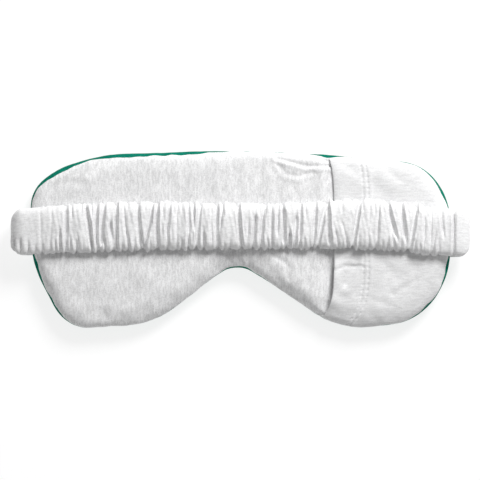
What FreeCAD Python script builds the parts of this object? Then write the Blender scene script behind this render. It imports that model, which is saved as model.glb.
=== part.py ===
"""Contoured eye pillow: a sewn cover with an envelope back, a seed-filled pouch and a gathered head strap.

The pillow lies face down, as it is laid aside: its face cloth is on the table at Z = 0, and its back is up
with the strap across it. X runs across the eyes, Y from the cheeks to the brow, Z from the face to the back.
The origin is under the middle of the whole object. Sizes are in millimetres.

The cover and the pouch are layers of cloth between rounded envelopes of one outline, each drawn in a little
from the last. Boxes cut every layer to the stretch that its panel covers.
"""

import FreeCAD, Part
import math
import os
import re

import Sketcher

V = FreeCAD.Vector
doc = FreeCAD.newDocument("eye_pillow")

# ------------------------------------------------------------------ driving dimensions

DIMENSIONS = {
    # stuffed cover
    "mask_width": 230.0,
    "mask_height": 97.0,
    "mask_thick": 14.0,
    "edge_round": 6.3,
    "nose_radius": 15.0,
    "nose_rise": 36.7,
    "fabric": 0.7,
    "ply_gap": 0.06,
    "seam_level": 7.0,
    "seam_allowance": 6.0,
    "wadding_thick": 2.0,
    # envelope opening in the back
    "opening_x": 50.8,
    "opening_gap": 0.3,
    "flap_hem": 20.0,
    "under_lap": 37.0,
    "under_hem": 12.0,
    "tuck_length": 3.0,
    # seed pouch
    "pouch_margin": 1.0,
    "pouch_cloth": 0.4,
    "pouch_round": 3.3,
    "fill_gap": 0.1,
    # head strap
    "strap_wide": 27.0,
    "strap_thick": 4.8,
    "strap_y": 6.0,
    "strap_gap": 0.6,
    "strap_overhang": 10.5,
    "run_gap": 0.25,
    "slot_gap": 0.1,
    "elastic_wide": 20.0,
    "elastic_thick": 1.2,
    "elastic_gap": 0.15,
    # sewing
    "thread_wide": 0.45,
    "thread_high": 0.28,
    "stitch_length": 2.3,
    "stitch_pitch": 3.1,
    "needle_margin": 1.1,
    "needle_gap": 2.7,
    "whip_length": 1.1,
}

# The outline's corners in order, as shares of half the width and half the height from the middle.
# The nose corner's height comes from nose_rise instead.
OUTLINE = {
    "left_temple": (-1.000, 0.545),
    "left_brow_outer": (-0.872, 0.802),
    "left_brow_inner": (-0.645, 0.962),
    "brow": (0.117, 1.0185),
    "right_brow": (0.863, 0.866),
    "right_temple": (1.000, 0.456),
    "right_side": (1.000, -0.305),
    "right_cheek_outer": (0.932, -0.680),
    "right_cheek_low": (0.799, -0.938),
    "right_cheek_inner": (0.470, -1.032),
    "nose": (-0.020, None),
    "left_cheek_inner": (-0.342, -0.839),
    "left_cheek_middle": (-0.478, -0.969),
    "left_cheek_low": (-0.768, -1.007),
    "left_cheek_outer": (-0.862, -0.862),
    "left_side": (-1.000, -0.258),
}
ARC_REACH = 0.48  # the part of its shorter neighbouring side that a corner's arc takes up

# Sizes and places that several pieces share, worked out from the driving dimensions in a second sheet.
DERIVED = {
    # depths below the cover's surface, at which the layers of cloth start and end
    "ply_one": "fabric",
    "ply_two": "2 * fabric",
    "lap_top": "2 * fabric + ply_gap",
    "lap_low": "3 * fabric + ply_gap",
    "hem_low": "4 * fabric + ply_gap",
    # cover
    "main_edge_x": "opening_x - opening_gap",
    "lap_end_x": "opening_x + under_lap",
    "flange_inset": "fabric + seam_allowance",
    # seed pouch
    "pouch_inset": "flange_inset + pouch_margin",
    "pouch_low": "fabric + wadding_thick + ply_gap",
    "pouch_high": "mask_thick - hem_low - thread_high - ply_gap",
    "fill_step": "pouch_cloth + fill_gap",
    "nose_x": f"mask_width / 2 * {OUTLINE['nose'][0]}",
    # head strap: its root in the side seam, the fold beside the cover, and the run across the back
    "root_x": "mask_width / 2 - flange_inset",
    "slot_low": "seam_level - strap_thick / 2 - slot_gap",
    "slot_high": "seam_level + strap_thick / 2 + slot_gap",
    "run_level": "mask_thick + strap_gap + strap_thick / 2",
    "fold_radius": "(run_level - seam_level) / 2",
    "fold_x": "mask_width / 2 + strap_overhang - strap_thick / 2 - fold_radius",
    "run_end_x": "fold_x - run_gap",
    "hollow_wide": "elastic_wide + 2 * elastic_gap",
    "hollow_thick": "elastic_thick + 2 * elastic_gap",
}

sheet = doc.addObject("Spreadsheet::Sheet", "sheet")
for row, (alias, number) in enumerate(DIMENSIONS.items(), start=1):
    sheet.set(f"A{row}", alias)
    sheet.set(f"B{row}", str(number))
    sheet.setAlias(f"B{row}", alias)
doc.recompute()


def cells(formula, own=()):
    """The formula with each alias written as a reference to its sheet, except for the names that are own."""
    def refer(word):
        alias = word.group()
        if alias in own:
            return alias
        return f"sheet.{alias}" if alias in DIMENSIONS else f"derived.{alias}"
    return re.sub(r"[a-z_]+", refer, formula)


derived = doc.addObject("Spreadsheet::Sheet", "derived")
for row, (alias, formula) in enumerate(DERIVED.items(), start=1):
    derived.set(f"A{row}", alias)
    derived.set(f"B{row}", "=" + cells(formula, DERIVED))
    derived.setAlias(f"B{row}", alias)
doc.recompute()


def size(alias):
    """A driving or a derived size in mm."""
    return float((sheet if alias in DIMENSIONS else derived).get(alias))


def bind(item, **formulas):
    """Binds properties to formulas. A double underscore in a name stands for a dot, as in Placement__Base__z."""
    for name, formula in formulas.items():
        item.setExpression(name.replace("__", "."), cells(formula))
    return item


# ------------------------------------------------------------------ the cover's outline


def outline_corners():
    """The corner points of the outline, and the radius of the arc at each."""
    half_width = size("mask_width") / 2
    half_height = size("mask_height") / 2
    points = []
    for across, up in OUTLINE.values():
        y = half_height * up if up is not None else size("nose_rise") - half_height
        points.append(V(half_width * across, y, 0))
    radii = []
    for index, name in enumerate(OUTLINE):
        back = points[index - 1] - points[index]
        ahead = points[(index + 1) % len(points)] - points[index]
        half_turn = (math.pi - back.getAngle(ahead)) / 2
        widest = ARC_REACH * min(back.Length, ahead.Length) / math.tan(half_turn)
        radii.append(min(size("nose_radius"), widest) if name == "nose" else widest)
    return points, radii


def corner_arc(points, radii, index):
    """The arc that rounds one corner: where it starts, the arc, and where it ends."""
    corner = points[index]
    back = (points[index - 1] - corner).normalize()
    ahead = (points[(index + 1) % len(points)] - corner).normalize()
    half_turn = (math.pi - back.getAngle(ahead)) / 2
    reach = radii[index] * math.tan(half_turn)
    inward = (back + ahead).normalize()
    middle = corner + inward * (radii[index] / math.cos(half_turn) - radii[index])
    start = corner + back * reach
    end = corner + ahead * reach
    return start, Part.Arc(start, middle, end), end


def make_outline():
    """The cover's outline as a sketch: straight sides through the corner points, with an arc at each corner."""
    sketch = doc.addObject("Sketcher::SketchObject", "outline")
    points, radii = outline_corners()
    count = len(points)
    corners = [corner_arc(points, radii, index) for index in range(count)]
    arcs = [sketch.addGeometry(arc, False) for _, arc, _ in corners]
    sides = []
    for index in range(count):
        side = Part.LineSegment(corners[index][2], corners[(index + 1) % count][0])
        sides.append(sketch.addGeometry(side, False))
    marks = [sketch.addGeometry(Part.Point(point), True) for point in points]

    rules = []
    for index in range(count):
        after = (index + 1) % count
        arc_end = near_end(sketch, arcs[index], corners[index][2])
        next_start = near_end(sketch, arcs[after], corners[after][0])
        rules += [
            Sketcher.Constraint("Tangent", arcs[index], arc_end, sides[index], 1),
            Sketcher.Constraint("Tangent", sides[index], 2, arcs[after], next_start),
            Sketcher.Constraint("PointOnObject", marks[index], 1, sides[index]),
            Sketcher.Constraint("PointOnObject", marks[after], 1, sides[index]),
            Sketcher.Constraint("Radius", arcs[index], radii[index]),
        ]
    sketch.addConstraint(rules)
    for mark, point, (across, up) in zip(marks, points, OUTLINE.values()):
        height = f"mask_height / 2 * {up}" if up is not None else "nose_rise - mask_height / 2"
        place_point(sketch, mark, "DistanceX", point.x, f"mask_width / 2 * {across}")
        place_point(sketch, mark, "DistanceY", point.y, height)
    return sketch


def near_end(sketch, geometry, point):
    """Which end of an arc, 1 or 2, is at a point."""
    return 1 if sketch.getPoint(geometry, 1).isEqual(point, 1e-6) else 2


def place_point(sketch, mark, kind, distance, formula):
    """Holds a sketch point at a distance from the origin that follows a formula."""
    index = sketch.addConstraint(Sketcher.Constraint(kind, -1, 1, mark, 1, distance))
    sketch.setExpression(f"Constraints[{index}]", cells(formula))


# ------------------------------------------------------------------ shared building steps


def slab(name, low, high, inset=None):
    """A plate of the outline from one level to another, drawn in from the edge by an inset."""
    edge = outline
    if inset:
        edge = doc.addObject("Part::Offset2D", name + "_edge")
        edge.Source = outline
        bind(edge, Value=f"-({inset})")
    plate = doc.addObject("Part::Extrusion", name + "_plate")
    plate.Base = edge
    plate.DirMode = "Custom"
    plate.Dir = V(0, 0, 1)
    plate.Solid = True
    return bind(plate, LengthFwd=high, LengthRev=f"-({low})")


def envelope(name, low, high, radius, inset=None):
    """A slab whose upper and lower rims are rounded."""
    plate = slab(name, low, high, inset)
    doc.recompute()
    rims = []
    for index, edge in enumerate(plate.Shape.Edges, start=1):
        if edge.BoundBox.ZLength < 1e-6:
            rims.append((index, radius, radius))
    rounded = doc.addObject("Part::Fillet", name)
    rounded.Base = plate
    rounded.Edges = rims
    return rounded


def cover_envelope(depth):
    """The stuffed cover's envelope at one of the named depths below its surface."""
    return envelope(f"cover_{depth}", depth, f"mask_thick - {depth}", size("edge_round") - size(depth), depth)


def pouch_envelope(depth):
    """The pouch's envelope at one of the named depths below its surface."""
    return envelope(f"pouch_{depth}", f"pouch_low + {depth}", f"pouch_high - {depth}",
                    size("pouch_round") - size(depth), f"pouch_inset + {depth}")


def block(name, x_low, x_high, z_low, z_high, y_low="-mask_height", y_high="mask_height"):
    """A box between places and levels given as formulas. Across Y it spans more than the cover by default."""
    box = doc.addObject("Part::Box", name)
    bind(box, Length=f"({x_high}) - ({x_low})", Width=f"({y_high}) - ({y_low})")
    bind(box, Height=f"({z_high}) - ({z_low})")
    return bind(box, Placement__Base__x=x_low, Placement__Base__y=y_low, Placement__Base__z=z_low)


def cut(name, base, tool):
    """One shape with another taken out of it."""
    result = doc.addObject("Part::Cut", name)
    result.Base = base
    result.Tool = tool
    return result


def fuse(name, *shapes):
    """Shapes joined into one piece."""
    result = doc.addObject("Part::MultiFuse", name)
    result.Shapes = list(shapes)
    result.Refine = True
    return result


def common(name, *shapes):
    """What two or more shapes share."""
    result = doc.addObject("Part::MultiCommon", name)
    result.Shapes = list(shapes)
    return result


def stitch(length, wide, high, middle, turn=0.0):
    """One stitch: a short flat bar of thread along X, centred on a point and turned about Z, in degrees."""
    bar = Part.makeBox(length, wide, high, V(-length / 2, -wide / 2, -high / 2))
    bar.Placement = FreeCAD.Placement(middle, FreeCAD.Rotation(V(0, 0, 1), turn))
    return bar


def stitches(name, bars):
    """All the stitches of one seam, as a group of separate solids."""
    group = doc.addObject("Part::Feature", name)
    group.Shape = Part.makeCompound(bars)
    return group


def stitch_places(low, high):
    """The middles of the stitches between two places, evenly spaced about the middle of the row."""
    count = int((high - low) // size("stitch_pitch"))
    first = (low + high - (count - 1) * size("stitch_pitch")) / 2
    return [first + index * size("stitch_pitch") for index in range(count)]


def hem_row(x, level, height, face):
    """A row of stitches along Y on a flat face, at a level in the face's plane, as far as the face goes."""
    half = size("stitch_length") / 2
    bars = []
    for y in stitch_places(-size("mask_height") / 2, size("mask_height") / 2):
        if all(face.isInside(V(x, y + step, level), 1e-4, True) for step in (-half, half)):
            bars.append(stitch(2 * half, size("thread_wide"), size("thread_high"), V(x, y, height), 90))
    return bars


def edge_row(inset):
    """Middles and turns for stitches that follow the outline all round, at a distance inside it."""
    edge = outline.Shape.Wires[0].makeOffset2D(-inset)
    path = Part.Wire(Part.__sortEdges__(edge.Edges))
    count = int(path.Length // size("stitch_pitch"))
    points = path.discretize(Number=2 * count + 1)
    row = []
    for here, middle, after in zip(points[::2], points[1::2], points[2::2]):
        step = after - here
        row.append((middle, math.degrees(math.atan2(step.y, step.x))))
    return row


def top_face(item):
    """An envelope's flat upper face."""
    return max(item.Shape.Faces, key=lambda face: face.BoundBox.ZMin)


# ------------------------------------------------------------------ cover


def seam_flange(name, low, high):
    """The turned-in seam allowance of a cover panel, flat between two levels."""
    outside = slab(name + "_outside", low, high)
    inside = slab(name + "_inside", f"{low} - fabric", f"{high} + fabric", "flange_inset")
    return cut(name, outside, inside)


def make_strap_slots():
    """The two gaps in the side seam that the strap's ends are sewn into."""
    across = ("strap_y - strap_wide / 2 - slot_gap", "strap_y + strap_wide / 2 + slot_gap")
    left = block("slot_left", "-mask_width / 2 - fabric", "slot_gap - root_x", "slot_low", "slot_high", *across)
    right = block("slot_right", "root_x - slot_gap", "mask_width / 2 + fabric", "slot_low", "slot_high", *across)
    return fuse("strap_slots", left, right)


def make_front_panel():
    """Face cloth: the lower shell of the cover, with its seam allowance."""
    below = block("front_region", "-mask_width", "mask_width", "-fabric", "seam_level")
    wall = common("front_wall", cut("front_shell", cover, cover_one), below)
    flange = seam_flange("front_flange", "seam_level - fabric", "seam_level")
    return cut("front_panel", fuse("front_whole", wall, flange), strap_slots)


def make_wadding():
    """Thin wadding laid on the inside of the face cloth."""
    region = block("wadding_region", "-mask_width", "mask_width", "fabric", "fabric + wadding_thick")
    return common("wadding", cover_one, region)


def make_back_panel_main():
    """Back cloth from the left side: it dips under the flap, runs on beneath it and ends in a hem."""
    outer_region = block("main_outer_region", "-mask_width", "main_edge_x", "seam_level", "mask_thick + fabric")
    outer = common("main_outer", cut("main_outer_shell", cover, cover_one), outer_region)
    tuck_region = block("main_tuck_region", "main_edge_x - tuck_length", "main_edge_x",
                        "seam_level + fabric", "mask_thick + fabric")
    tuck = common("main_tuck", cut("main_tuck_shell", cover, cover_lap_low), tuck_region)
    lap_region = block("main_lap_region", "main_edge_x - tuck_length", "lap_end_x",
                       "seam_level + fabric + ply_gap", "mask_thick")
    lap = common("main_lap", cut("main_lap_shell", cover_lap_top, cover_lap_low), lap_region)
    hem_region = block("main_hem_region", "lap_end_x - under_hem", "lap_end_x",
                       "seam_level + fabric + ply_gap", "mask_thick")
    hem = common("main_hem", cut("main_hem_shell", cover_lap_low, cover_hem_low), hem_region)
    flange_region = block("main_flange_region", "-mask_width", "main_edge_x", "0", "mask_thick")
    flange = common("main_flange", seam_flange("main_ring", "seam_level", "seam_level + fabric"), flange_region)
    return cut("back_panel_main", fuse("main_whole", outer, tuck, lap, hem, flange), strap_slots)


def make_back_panel_flap():
    """Back cloth from the right side: it lies over the main panel, with its edge turned under as a hem."""
    outer_region = block("flap_outer_region", "opening_x", "mask_width", "seam_level", "mask_thick + fabric")
    outer = common("flap_outer", cut("flap_outer_shell", cover, cover_one), outer_region)
    hem_region = block("flap_hem_region", "opening_x", "opening_x + flap_hem",
                       "seam_level + fabric", "mask_thick")
    hem = common("flap_hem", cut("flap_hem_shell", cover_one, cover_two), hem_region)
    flange_region = block("flap_flange_region", "opening_x", "mask_width", "0", "mask_thick")
    flange = common("flap_flange", seam_flange("flap_ring", "seam_level", "seam_level + fabric"), flange_region)
    return cut("back_panel_flap", fuse("flap_whole", outer, hem, flange), strap_slots)


def make_flap_hem_stitches():
    """Two parallel rows that hold the flap's hem, as far as the back is flat."""
    level = size("mask_thick")
    far_row = size("opening_x") + size("flap_hem") - size("needle_margin")
    bars = []
    for x in (far_row, far_row - size("needle_gap")):
        bars += hem_row(x, level, level + size("thread_high") / 2, top_face(cover))
    return stitches("flap_hem_stitches", bars)


def make_main_hem_stitches():
    """One row under the main panel's hidden hem."""
    level = size("mask_thick") - size("hem_low")
    x = size("lap_end_x") - size("under_hem") + size("needle_margin")
    return stitches("main_hem_stitches",
                    hem_row(x, level, level - size("thread_high") / 2, top_face(cover_hem_low)))


def make_side_seam_stitches():
    """The seam that joins the front and the back all round, on the inside, but not across the strap's ends."""
    level = size("seam_level") - size("fabric") - size("thread_high") / 2
    clear_of_strap = size("strap_wide") / 2 + size("slot_gap") + size("stitch_length")
    bars = []
    for place, turn in edge_row(size("fabric") + size("needle_margin")):
        if abs(place.x) > size("root_x") and abs(place.y - size("strap_y")) < clear_of_strap:
            continue
        middle = V(place.x, place.y, level)
        bars.append(stitch(size("stitch_length"), size("thread_wide"), size("thread_high"), middle, turn))
    return stitches("side_seam_stitches", bars)


# ------------------------------------------------------------------ seed pouch


def make_pouch_half(name, low, high):
    """The lower or the upper cloth of the pouch. The two meet at the seam level."""
    region = block(name + "_region", "-mask_width", "mask_width", low, high)
    return common(name, cut(name + "_shell", pouch, pouch_cloth_inside), region)


def make_pouch_divider():
    """The cloth wall that keeps the seeds in two chambers, one for each eye."""
    region = block("divider_region", "nose_x - pouch_cloth / 2", "nose_x + pouch_cloth / 2", "0", "mask_thick")
    return common("pouch_divider", pouch_cloth_inside, region)


def make_seed_fill(name, x_low, x_high):
    """The seeds on one side of the divider."""
    return common(name, pouch_fill_step, block(name + "_region", x_low, x_high, "0", "mask_thick"))


def make_pouch_seam_stitches():
    """Whip stitches over the pouch's seam, all round."""
    inset = size("pouch_inset") - size("thread_high") / 2 - size("ply_gap")
    bars = []
    for place, turn in edge_row(inset):
        middle = V(place.x, place.y, size("seam_level"))
        bars.append(stitch(size("thread_wide"), size("thread_high"), size("whip_length"), middle, turn))
    return stitches("pouch_seam_stitches", bars)


# ------------------------------------------------------------------ head strap


def make_section(name, wide, thick):
    """A flat band's section, upright in the YZ plane, with round edges: its width along Y."""
    sketch = doc.addObject("Sketcher::SketchObject", name)
    sketch.Placement = FreeCAD.Placement(V(0, 0, 0), FreeCAD.Rotation(V(1, 1, 1), 120))
    radius = size(thick) / 2
    reach = size(wide) / 2 - radius
    upper_right, lower_right = V(reach, radius, 0), V(reach, -radius, 0)
    upper_left, lower_left = V(-reach, radius, 0), V(-reach, -radius, 0)
    upper = sketch.addGeometry(Part.LineSegment(upper_left, upper_right), False)
    lower = sketch.addGeometry(Part.LineSegment(lower_right, lower_left), False)
    right = sketch.addGeometry(Part.Arc(upper_right, V(reach + radius, 0, 0), lower_right), False)
    left = sketch.addGeometry(Part.Arc(lower_left, V(-reach - radius, 0, 0), upper_left), False)
    sketch.addConstraint([
        Sketcher.Constraint("Tangent", upper, 2, right, near_end(sketch, right, upper_right)),
        Sketcher.Constraint("Tangent", lower, 1, right, near_end(sketch, right, lower_right)),
        Sketcher.Constraint("Tangent", lower, 2, left, near_end(sketch, left, lower_left)),
        Sketcher.Constraint("Tangent", upper, 1, left, near_end(sketch, left, upper_left)),
        Sketcher.Constraint("Symmetric", right, 3, left, 3, -1, 1),
        Sketcher.Constraint("Horizontal", upper),
    ])
    bend = sketch.addConstraint(Sketcher.Constraint("Radius", right, radius))
    sketch.setExpression(f"Constraints[{bend}]", cells(f"{thick} / 2"))
    flat = sketch.addConstraint(Sketcher.Constraint("DistanceX", left, 3, right, 3, 2 * reach))
    sketch.setExpression(f"Constraints[{flat}]", cells(f"{wide} - {thick}"))
    return sketch


def placed(name, shape, **formulas):
    """A shape with a placement of its own."""
    group = doc.addObject("Part::Compound", name)
    group.Links = [shape]
    return bind(group, **formulas)


def straight_band(name, section, x_low, x_high, level):
    """A flat band along X, between two places and at a level."""
    run = doc.addObject("Part::Extrusion", name + "_straight")
    run.Base = section
    run.DirMode = "Custom"
    run.Dir = V(1, 0, 0)
    run.Solid = True
    bind(run, LengthFwd=x_high, LengthRev=f"-({x_low})")
    return placed(name, run, Placement__Base__y="strap_y", Placement__Base__z=level)


def folded_band(name, section, side):
    """The half turn of a flat band beside the cover, from the seam level up to the run's level."""
    lower_end = placed(name + "_end", section, Placement__Base__z="-fold_radius")
    turn = doc.addObject("Part::Revolution", name + "_turn")
    turn.Source = lower_end
    turn.Axis = V(0, -side, 0)
    turn.Angle = 180
    turn.Solid = True
    return placed(name, turn, Placement__Base__x=f"{side} * fold_x", Placement__Base__y="strap_y",
                  Placement__Base__z="seam_level + fold_radius")


def band_end(name, section, side):
    """A band's fixed end: out of the side seam and round the fold, to where the run across the back starts."""
    near, far = ("root_x", "fold_x") if side > 0 else ("-fold_x", "-root_x")
    root = straight_band(name + "_root", section, near, far, "seam_level")
    return fuse(name, root, folded_band(name + "_fold", section, side))


def band_run(name, section):
    """A band's run across the back of the cover."""
    return straight_band(name, section, "-run_end_x", "run_end_x", "run_level")


def make_strap():
    """The gathered casing and the elastic inside it: one run across the back and a fixed end at each side."""
    casing = make_section("casing_section", "strap_wide", "strap_thick")
    hollow = make_section("hollow_section", "hollow_wide", "hollow_thick")
    elastic = make_section("elastic_section", "elastic_wide", "elastic_thick")
    pieces = [
        cut("strap_casing", band_run("casing_run", casing), band_run("hollow_run", hollow)),
        band_run("strap_elastic", elastic),
    ]
    for name, side in (("left", -1), ("right", 1)):
        cased = band_end(f"casing_{name}", casing, side)
        pieces.append(cut(f"strap_end_{name}", cased, band_end(f"hollow_{name}", hollow, side)))
        pieces.append(band_end(f"elastic_end_{name}", elastic, side))
        pieces.append(make_strap_tack(f"strap_tack_{name}", side))
    return pieces


def make_casing_seam_stitches():
    """The seam that closes the casing, along its cheek-side edge."""
    y = size("strap_y") - size("strap_wide") / 2 - size("thread_high") / 2
    bars = []
    for x in stitch_places(-size("mask_width") / 2, size("mask_width") / 2):
        middle = V(x, y, size("run_level"))
        bars.append(stitch(size("stitch_length"), size("thread_high"), size("thread_wide"), middle))
    return stitches("casing_seam_stitches", bars)


def make_strap_tack(name, side):
    """Two rows of stitches across a strap end, inside the cover."""
    level = size("seam_level") + size("strap_thick") / 2 + size("thread_high") / 2
    reach = (size("strap_wide") - size("strap_thick")) / 2
    bars = []
    for step in (size("needle_margin"), size("needle_margin") + size("needle_gap")):
        for y in stitch_places(size("strap_y") - reach, size("strap_y") + reach):
            middle = V(side * (size("root_x") + step), y, level)
            bars.append(stitch(size("stitch_length"), size("thread_wide"), size("thread_high"), middle, 90))
    return stitches(name, bars)


# ------------------------------------------------------------------ build and export

outline = make_outline()
doc.recompute()
cover = envelope("cover", "0", "mask_thick", size("edge_round"))
cover_one = cover_envelope("ply_one")
cover_two = cover_envelope("ply_two")
cover_lap_top = cover_envelope("lap_top")
cover_lap_low = cover_envelope("lap_low")
cover_hem_low = cover_envelope("hem_low")
pouch = envelope("pouch", "pouch_low", "pouch_high", size("pouch_round"), "pouch_inset")
pouch_cloth_inside = pouch_envelope("pouch_cloth")
pouch_fill_step = pouch_envelope("fill_step")
doc.recompute()

strap_slots = make_strap_slots()
parts = [
    make_front_panel(),
    make_wadding(),
    make_back_panel_main(),
    make_back_panel_flap(),
    make_flap_hem_stitches(),
    make_main_hem_stitches(),
    make_side_seam_stitches(),
    make_pouch_half("pouch_front", "0", "seam_level"),
    make_pouch_half("pouch_back", "seam_level", "mask_thick"),
    make_pouch_divider(),
    make_pouch_seam_stitches(),
    make_seed_fill("seed_fill_left", "-mask_width", "nose_x - pouch_cloth / 2 - fill_gap"),
    make_seed_fill("seed_fill_right", "nose_x + pouch_cloth / 2 + fill_gap", "mask_width"),
    *make_strap(),
    make_casing_seam_stitches(),
]
doc.recompute()

for item in doc.Objects:
    if {"Invalid", "Error"} & set(item.State):
        raise SystemExit(f"{item.Label} failed: {item.State}")
os.makedirs("parts", exist_ok=True)
for part in parts:
    if part.Shape.isNull() or not part.Shape.isValid():
        raise SystemExit(f"{part.Label} has no valid shape")
    part.Shape.exportStep(f"parts/{part.Label}.step")
    print(f"{part.Label}: {len(part.Shape.Solids)} solid(s), {part.Shape.Volume:.1f} mm3")
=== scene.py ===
"""The looks of a contoured eye pillow: a stuffed cover, its envelope back, a pouch and a gathered strap.

It lies face down, as the frame has it: face cloth on the table at Z = 0, back and strap up. X runs across the
eyes, Y from the cheeks to the brow. Blender works in metres; the sizes below are in millimetres times MM.
"""

import math
import random

import bmesh
import bpy
import numpy as np
from mathutils import Matrix, Vector
from mathutils.bvhtree import BVHTree


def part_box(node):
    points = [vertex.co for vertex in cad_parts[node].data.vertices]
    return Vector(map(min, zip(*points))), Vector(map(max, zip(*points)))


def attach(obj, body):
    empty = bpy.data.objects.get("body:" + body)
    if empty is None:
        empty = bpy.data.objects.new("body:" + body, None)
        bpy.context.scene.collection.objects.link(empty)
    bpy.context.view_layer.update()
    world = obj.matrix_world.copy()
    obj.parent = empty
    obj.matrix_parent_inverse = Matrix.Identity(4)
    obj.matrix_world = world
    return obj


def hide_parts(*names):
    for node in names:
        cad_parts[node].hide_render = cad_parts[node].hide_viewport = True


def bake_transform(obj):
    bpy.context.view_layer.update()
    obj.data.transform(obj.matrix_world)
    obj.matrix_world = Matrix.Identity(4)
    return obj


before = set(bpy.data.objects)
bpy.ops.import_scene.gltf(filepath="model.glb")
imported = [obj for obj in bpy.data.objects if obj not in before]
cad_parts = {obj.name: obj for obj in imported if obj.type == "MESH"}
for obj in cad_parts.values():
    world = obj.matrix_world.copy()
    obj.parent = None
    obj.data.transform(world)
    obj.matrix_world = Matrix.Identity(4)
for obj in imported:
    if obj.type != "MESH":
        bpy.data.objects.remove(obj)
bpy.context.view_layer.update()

MM = 0.001

# ------------------------------------------------------------------ places that come from the frame

COVER_LOW, COVER_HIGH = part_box("front_panel")
BACK_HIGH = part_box("back_panel_main")[1]
FLAP_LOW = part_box("back_panel_flap")[0]
RUN_LOW, RUN_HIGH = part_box("strap_casing")
END_LOW, END_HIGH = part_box("strap_end_right")
HALF_WIDE = COVER_HIGH.x
COVER_TOP = BACK_HIGH.z
SEAM_LEVEL = COVER_HIGH.z
FLAP_EDGE = FLAP_LOW.x
LAP_END = BACK_HIGH.x
STRAP_WIDE = RUN_HIGH.y - RUN_LOW.y
STRAP_THICK = RUN_HIGH.z - RUN_LOW.z
RUN_LEVEL = (RUN_LOW.z + RUN_HIGH.z) / 2
FOLD_RADIUS = (RUN_LEVEL - SEAM_LEVEL) / 2
FOLD_X = END_HIGH.x - STRAP_THICK / 2 - FOLD_RADIUS

# ------------------------------------------------------------------ camera, floor and light


def aim(item, place, target):
    """Puts an object at a place and points its -Z axis at a target."""
    item.location = place
    item.rotation_euler = (Vector(target) - Vector(place)).to_track_quat("-Z", "Y").to_euler()


def make_camera():
    """A long lens straight above the pillow, with the brow at the top of the view."""
    view_wide = 262.8 * MM
    height = 1.3
    data = bpy.data.cameras.new("camera")
    data.sensor_width = 36
    data.lens = data.sensor_width * (height - COVER_TOP) / view_wide
    data.clip_start = 0.01
    camera = bpy.data.objects.new("camera", data)
    camera.location = (-0.2 * MM, -0.2 * MM, height)
    bpy.context.collection.objects.link(camera)
    bpy.context.scene.camera = camera


def make_light(name, place, target, wide, power, colour=(1, 1, 1)):
    """A square soft box."""
    data = bpy.data.lights.new(name, "AREA")
    data.size = wide
    data.energy = power
    data.color = colour
    light = bpy.data.objects.new(name, data)
    bpy.context.collection.objects.link(light)
    aim(light, place, target)


def make_studio():
    """A pale floor, a key light from beyond the brow, a weak low fill from the cheeks and a pale sky."""
    bm = bmesh.new()
    bmesh.ops.create_grid(bm, x_segments=1, y_segments=1, size=3.0)
    floor = new_piece("floor", bm)
    floor.location.z = -0.2 * MM
    finish = bpy.data.materials.new("floor_paint")
    finish.use_nodes = True
    shader = finish.node_tree.nodes["Principled BSDF"]
    shader.inputs["Base Color"].default_value = (0.25, 0.25, 0.25, 1)
    shader.inputs["Emission Color"].default_value = (1, 1, 1, 1)
    shader.inputs["Emission Strength"].default_value = 0.8
    shader.inputs["Roughness"].default_value = 0.9
    floor.data.materials.append(finish)
    make_light("key", (0.40, 0.74, 0.66), (0, 0, 0), 0.40, 12.6)
    make_light("fill", (-0.45, -1.05, 0.30), (0, 0, 0), 0.80, 1.6)
    world = bpy.data.worlds.new("sky")
    bpy.context.scene.world = world
    world.use_nodes = True
    world.node_tree.nodes["Background"].inputs["Color"].default_value = (1, 1, 1, 1)
    world.node_tree.nodes["Background"].inputs["Strength"].default_value = 0.27
    bpy.context.scene.view_settings.view_transform = "Standard"


# ------------------------------------------------------------------ mesh steps


def new_piece(name, bm):
    """A new object from a bmesh, which is freed."""
    mesh = bpy.data.meshes.new(name)
    bm.to_mesh(mesh)
    bm.free()
    piece = bpy.data.objects.new(name, mesh)
    bpy.context.collection.objects.link(piece)
    return piece


def settle(piece):
    """Applies a piece's modifiers to its mesh."""
    graph = bpy.context.evaluated_depsgraph_get()
    graph.update()
    mesh = bpy.data.meshes.new_from_object(piece.evaluated_get(graph))
    piece.modifiers.clear()
    old = piece.data
    piece.data = mesh
    mesh.name = old.name
    bpy.data.meshes.remove(old)
    return piece


def modify(piece, kind, **settings):
    """Adds a modifier and applies it."""
    modifier = piece.modifiers.new(kind.lower(), kind)
    for name, value in settings.items():
        setattr(modifier, name, value)
    return settle(piece)


def get_points(piece):
    """A piece's vertices as rows of x, y, z."""
    flat = np.empty(len(piece.data.vertices) * 3)
    piece.data.vertices.foreach_get("co", flat)
    return flat.reshape(-1, 3)


def set_points(piece, points):
    """Moves a piece's vertices to these rows of x, y, z."""
    piece.data.vertices.foreach_set("co", points.ravel())
    piece.data.update()


def reshape(piece, rule):
    """Moves every vertex by a rule that takes and returns rows of x, y, z."""
    points = get_points(piece)
    set_points(piece, rule(points.copy()))
    return piece


def slice_off(piece, point, normal):
    """Cuts off what lies on the normal's side of a plane."""
    bm = bmesh.new()
    bm.from_mesh(piece.data)
    everything = bm.verts[:] + bm.edges[:] + bm.faces[:]
    bmesh.ops.bisect_plane(bm, geom=everything, dist=1e-6, plane_co=point, plane_no=normal, clear_outer=True)
    bm.to_mesh(piece.data)
    bm.free()
    return piece


def copy_of(piece, name):
    """A copy of a piece with a mesh of its own."""
    twin = piece.copy()
    twin.data = piece.data.copy()
    twin.name = name
    twin.data.name = name
    bpy.context.collection.objects.link(twin)
    return twin


def smooth(piece):
    """Shades a piece smooth."""
    piece.data.shade_smooth()
    return piece


def get_normals(piece):
    """A piece's vertex normals as rows of x, y, z."""
    flat = np.empty(len(piece.data.vertices) * 3, np.float32)
    piece.data.vertex_normals.foreach_get("vector", flat)
    return flat.reshape(-1, 3).astype(float)


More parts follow.
